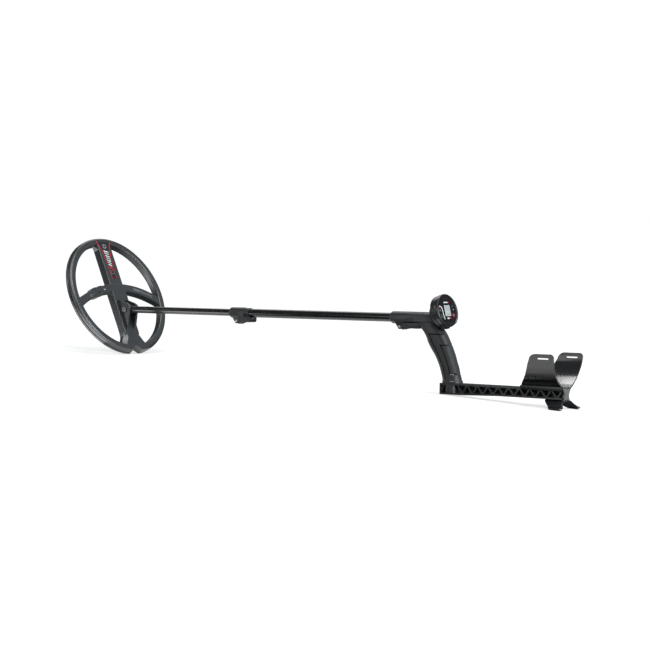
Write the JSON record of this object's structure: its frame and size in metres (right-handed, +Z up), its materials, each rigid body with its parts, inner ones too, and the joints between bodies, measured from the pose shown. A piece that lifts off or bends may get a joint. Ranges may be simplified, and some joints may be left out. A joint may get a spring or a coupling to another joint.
{
  "type": "metal detector",
  "caption": "Wireless metal detector: round search coil on a hinge, telescopic stem with lever locks, S-shaped grip with clip-on control unit, sliding arm cuff.",
  "frame": {"origin": "centre of the footprint, on the ground under the coil's rear edge and the cuff's feet", "axes": "+X along the detector from the coil to the arm cuff, +Y to the user's right, +Z up"},
  "size_m": [1.2767, 0.28, 0.2489],
  "materials": {
    "coil_shell_plastic": "satin",
    "skid_plastic": "matte",
    "copper_wire": "satin",
    "circuit_board": "satin",
    "cell": "satin",
    "coil_label_film": "gloss",
    "plate_film": "satin",
    "contact_metal": "gloss",
    "hinge_alloy": "satin",
    "black_nylon": "matte",
    "stem_tube": "satin",
    "bush_plastic": "satin",
    "lock_plastic": "satin",
    "lever_plastic": "satin",
    "brake_rubber": "matte",
    "steel_pin": "satin",
    "grip_plastic": "satin",
    "grip_rubber": "matte",
    "screw_steel": "satin",
    "beam_plastic": "satin",
    "cuff_plastic": "gloss",
    "foot_rubber": "matte",
    "remote_plastic": "satin",
    "remote_rim": "gloss",
    "face_film": "gloss",
    "window": "gloss",
    "display": "satin",
    "key_rubber": "matte",
    "power_key": "matte"
  },
  "bodies": {
    "handle": {"handle_frame": "grip_plastic", "upper_lock_pin": "steel_pin", "upper_lock_pad": "brake_rubber", "grip_shell_left": "grip_plastic", "grip_shell_right": "grip_plastic", "grip_pad_left": "grip_rubber", "grip_pad_right": "grip_rubber", "grip_screws": "screw_steel", "grip_foot_ring": "grip_plastic", "foot_screw": "screw_steel", "arm_beam": "beam_plastic", "remote_cradle": "remote_plastic"},
    "upper_lever": {"upper_lock_lever": "lever_plastic"},
    "middle_tube": {"mid_tube": "stem_tube", "mid_tube_bush": "bush_plastic", "mid_tube_plug": "black_nylon", "lower_lock_collar": "lock_plastic", "lower_lock_pin": "steel_pin", "lower_lock_pad": "brake_rubber"},
    "lower_lever": {"lower_lock_lever": "lever_plastic"},
    "lower_stem": {"lower_stem": "stem_tube", "stem_end_plug": "black_nylon", "stem_yoke": "lock_plastic", "hinge_washers": "black_nylon"},
    "coil": {"coil_shell": "coil_shell_plastic", "coil_skid_cover": "skid_plastic", "coil_winding_transmit": "copper_wire", "coil_winding_receive": "copper_wire", "coil_circuit": "circuit_board", "coil_battery": "cell", "coil_label": "coil_label_film", "coil_data_plate": "plate_film", "charge_contacts": "contact_metal", "hinge_bolt": "hinge_alloy", "hinge_nut": "black_nylon"},
    "arm_cuff": {"arm_cuff": "cuff_plastic", "cuff_screw": "black_nylon", "cuff_foot_pads": "foot_rubber"},
    "control_unit": {"remote_rear_case": "remote_plastic", "remote_bezel": "remote_rim", "remote_face": "face_film", "remote_window": "window", "remote_display": "display", "remote_board": "circuit_board", "remote_battery": "cell", "remote_speaker": "black_nylon", "remote_seal": "foot_rubber", "remote_case_screws": "screw_steel", "remote_key_mat": "key_rubber"},
    "port_cover": {"port_cover": "foot_rubber"},
    "key_plus": {"key_plus": "key_rubber"},
    "key_minus": {"key_minus": "key_rubber"},
    "key_menu": {"key_menu": "key_rubber"},
    "key_back": {"key_back": "key_rubber"},
    "key_power": {"key_power": "power_key"}
  },
  "joints": [
    {"name": "middle_tube_telescope", "type": "slide", "parent": "handle", "child": "middle_tube", "axis": [0.9984, 0, 0.0568], "range_m": [0, 0.05]},
    {"name": "upper_lever_swing", "type": "hinge", "parent": "handle", "child": "upper_lever", "pos_m": [0.23836, 0, 0.12317], "axis": [0, 1, 0], "range_deg": [0, 100]},
    {"name": "lower_lever_swing", "type": "hinge", "parent": "middle_tube", "child": "lower_lever", "pos_m": [-0.19494, 0, 0.0985], "axis": [0, 1, 0], "range_deg": [0, 100]},
    {"name": "lower_stem_telescope", "type": "slide", "parent": "middle_tube", "child": "lower_stem", "axis": [0.9984, 0, 0.0568], "range_m": [0, 0.2]},
    {"name": "coil_tilt", "type": "hinge", "parent": "lower_stem", "child": "coil", "pos_m": [-0.5264, 0, 0.09716], "axis": [0, 1, 0], "range_deg": [-62, 112]},
    {"name": "cuff_slide", "type": "slide", "parent": "handle", "child": "arm_cuff", "axis": [0.9984, 0, 0.0568], "range_m": [0, 0.048]},
    {"name": "control_unit_lift_off", "type": "slide", "parent": "handle", "child": "control_unit", "axis": [0.955, 0, 0.2967], "range_m": [0, 0.03]},
    {"name": "port_cover_swing", "type": "hinge", "parent": "control_unit", "child": "port_cover", "pos_m": [0.34086, 0, 0.12684], "axis": [0, 1, 0], "range_deg": [0, 80]},
    {"name": "key_plus_press", "type": "slide", "parent": "control_unit", "child": "key_plus", "axis": [-0.955, 0, -0.2967], "range_m": [0, 0.0006], "stiffness_N_per_m": 900, "springref_m": -0.0004},
    {"name": "key_minus_press", "type": "slide", "parent": "control_unit", "child": "key_minus", "axis": [-0.955, 0, -0.2967], "range_m": [0, 0.0006], "stiffness_N_per_m": 900, "springref_m": -0.0004},
    {"name": "key_menu_press", "type": "slide", "parent": "control_unit", "child": "key_menu", "axis": [-0.955, 0, -0.2967], "range_m": [0, 0.0006], "stiffness_N_per_m": 900, "springref_m": -0.0004},
    {"name": "key_back_press", "type": "slide", "parent": "control_unit", "child": "key_back", "axis": [-0.955, 0, -0.2967], "range_m": [0, 0.0006], "stiffness_N_per_m": 900, "springref_m": -0.0004},
    {"name": "key_power_press", "type": "slide", "parent": "control_unit", "child": "key_power", "axis": [-0.955, 0, -0.2967], "range_m": [0, 0.0006], "stiffness_N_per_m": 900, "springref_m": -0.0004}
  ]
}
